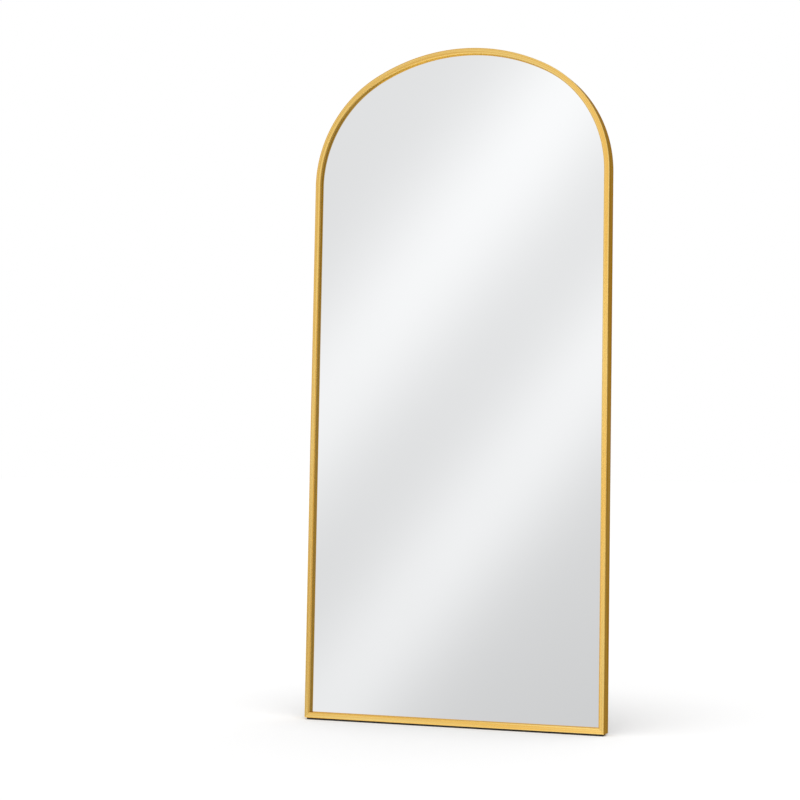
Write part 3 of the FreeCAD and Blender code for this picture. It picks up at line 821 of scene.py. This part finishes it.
def studio_glow(turn, up):
    """Glow of the wall at an angle turned from straight ahead, and a height.

    The distance across the bands is arc length times the cosine of their slope plus
    height times its sine; the distance along them swaps the two and one sign.  Two bell
    curves are the bands, on a ground that falls away to one side and brightens a little
    upwards.  The rest lies beyond the glass's own view.  The left is darker, most of all
    low down, and turns bright again far round.  A bright floor-level zone lights the
    rail, a narrow upright strip just right of the glass's view lights the edges, and it
    fades upwards and ends above a dark foot.  The right half is dim, with one soft band,
    and the wall darkens high up."""
    arc, degrees = wall_radius * turn, np.degrees(turn)
    across = arc * math.cos(band_slope) + up * math.sin(band_slope)
    along = up * math.cos(band_slope) - arc * math.sin(band_slope)

    # what the glass shows
    glow = ground_glow - ground_drop * step_up(across, *drop_across)
    glow = glow + band(across, *first_band) + band(across, *second_band)
    glow = glow * (lowest_share + share_gain * step_up(along, *gain_along))

    # the left, then the floor-level zone
    left = left_glow + left_gain * step_up(up, *left_gain_up)
    glow = toward(glow, left, zone(-degrees, *left_zone))
    glow = toward(glow, 1, step_up(-degrees, *left_zone[2:]))
    under = step_up(-up, *under_down) * (1 - step_up(-degrees, *left_zone[:2]))
    glow = toward(glow, under_glow, under)

    # the bright strip, its dark foot and the dim right half
    strip = zone(degrees, *strip_zone) * (1 - strip_fade * step_up(up, *fade_up))
    glow = glow + past_strip * step_up(degrees, *strip_zone[2:]) + strip_glow * strip
    foot = step_up(-up, *foot_down) * step_up(degrees, *foot_turn)
    glow = toward(glow, foot_glow, foot)
    dim = zone(degrees, *dim_zone)
    dimmer = dim_glow + dim_gain * step_up(degrees, *dim_gain_turn)
    glow = toward(glow, dimmer + band(across, *dim_band), dim)

    # high up
    return toward(glow, high_glow, zone(up, *high_zone) * (1 - dim))


print("glow straight ahead at waist height:", round(float(studio_glow(0.0, 1.0)), 3))

# %% [markdown]
# ## The wall itself
# The wall is one curved sheet with a fine grid.  It could be lit by lamps, but as a sheet
# that gives off its own light it needs no light of its own and casts none: a reflection
# sees it and nothing else does.  After a matt surface has scattered a ray, the wall counts
# for less, as the sky does.

# %% The studio wall
wall_centre_y = -0.1
wall_turns = np.radians(np.linspace(-90, 210, 601))    # half a degree apart
wall_heights = np.linspace(-5, 12, 341)                # 5 cm apart
dim_tint = linear(255, 249, 236)           # the unlit parts of the studio are a little warm
full_tint = linear(255, 255, 255)
tint_span = (0.3, 0.6)                     # the glow over which the warmth goes
after_a_bounce = 0.5                       # a count above this is one bounce or more
wall_share_after_a_bounce = 0.6


def studio_wall():
    """A curved wall round the mirror: angle and height are its two parameters.

    A point is the centre plus the radius times the sine and minus the cosine of the
    angle, at its height."""
    turn, up = np.meshgrid(wall_turns, wall_heights, indexing="ij")
    points = np.stack([wall_radius * np.sin(turn),
                       wall_centre_y - wall_radius * np.cos(turn), up], -1).reshape(-1, 3)
    index = np.arange(turn.size).reshape(turn.shape)
    faces = np.stack([index[:-1, :-1], index[:-1, 1:], index[1:, 1:], index[1:, :-1]], -1)
    mesh = bpy.data.meshes.new("studio_wall")
    mesh.from_pydata(points.tolist(), [], faces.reshape(-1, 4).tolist())
    glow = mesh.attributes.new("glow", "FLOAT", "POINT")
    glow.data.foreach_set("value", studio_glow(turn, up).ravel().astype(np.float32))
    mesh.shade_smooth()
    mesh.materials.append(glowing_paint())
    sheet = bpy.data.objects.new("studio_wall", mesh)
    bpy.context.scene.collection.objects.link(sheet)
    return sheet


def glowing_paint():
    """Paint that gives off the glow kept on the wall, a little warm where it is dim."""
    finish = bpy.data.materials.new("studio_wall")
    finish.use_nodes = True
    finish.cycles.emission_sampling = "NONE"
    tree = finish.node_tree
    tree.nodes.remove(tree.nodes["Principled BSDF"])
    glow = add(finish, "Attribute", attribute_name="glow").outputs["Fac"]
    depth = add(finish, "LightPath").outputs["Diffuse Depth"]
    bounced = add(finish, "Math", {0: depth, 1: after_a_bounce},
                  operation="GREATER_THAN").outputs[0]
    share = between(finish, bounced, 1.0, wall_share_after_a_bounce, 0, 1)
    strength = add(finish, "Math", {0: glow, 1: share}, operation="MULTIPLY").outputs[0]
    tint = blend_of(finish, between(finish, glow, 0, 1, *tint_span), dim_tint, full_tint)
    light = add(finish, "Emission", {"Color": tint, "Strength": strength})
    tree.links.new(light.outputs[0], tree.nodes["Material Output"].inputs["Surface"])
    return finish


surround = studio_wall()
surround.visible_camera = False
surround.visible_diffuse = False
surround.visible_shadow = False
surround.visible_transmission = False
print("studio wall:", len(surround.data.vertices), "points")

# %% [markdown]
# ## Light
# A white sky lights everything evenly.  One very wide soft lamp high up on the camera's
# side gives the shapes a lit side, and its shadow falls out of sight behind the glass.
# Camera and reflection rays see the sky at full white; what it gives off as light is
# less, so that a colour renders about as it is written.

# %% Light
sky_light = 0.62
lamp_strength = 1.55
lamp_spread = 36.0                         # degrees
lamp_turn = (8, 0, 20)                     # degrees about x, y and z


def white_sky():
    """A world that is white to look at and softer as a light."""
    world = bpy.data.worlds.new("white_sky")
    bpy.context.scene.world = world
    world.use_nodes = True
    rays = add(world, "LightPath")
    unlit = add(world, "Math", {0: rays.outputs["Diffuse Depth"], 1: after_a_bounce},
                operation="LESS_THAN").outputs[0]
    mirrored = add(world, "Math", {0: rays.outputs["Is Glossy Ray"], 1: unlit},
                   operation="MULTIPLY").outputs[0]
    seen = add(world, "Math", {0: rays.outputs["Is Camera Ray"], 1: mirrored},
               operation="ADD").outputs[0]
    seen = add(world, "Math", {0: seen, 1: rays.outputs["Is Transmission Ray"]},
               operation="ADD", use_clamp=True).outputs[0]
    strength = add(world, "MapRange", {"Value": seen, "To Min": sky_light, "To Max": 1.0})
    background = world.node_tree.nodes["Background"]
    background.inputs["Color"].default_value = (1.0, 1.0, 1.0, 1.0)
    world.node_tree.links.new(strength.outputs["Result"], background.inputs["Strength"])


white_sky()
lamp_data = bpy.data.lights.new("soft_lamp", "SUN")
lamp_data.energy = lamp_strength
lamp_data.angle = math.radians(lamp_spread)
lamp = bpy.data.objects.new("soft_lamp", lamp_data)
lamp.rotation_euler = [math.radians(angle) for angle in lamp_turn]
lamp.visible_glossy = False
bpy.context.scene.collection.objects.link(lamp)
bpy.context.scene.view_settings.view_transform = "Standard"
print("sky", sky_light, "and lamp", lamp_strength)
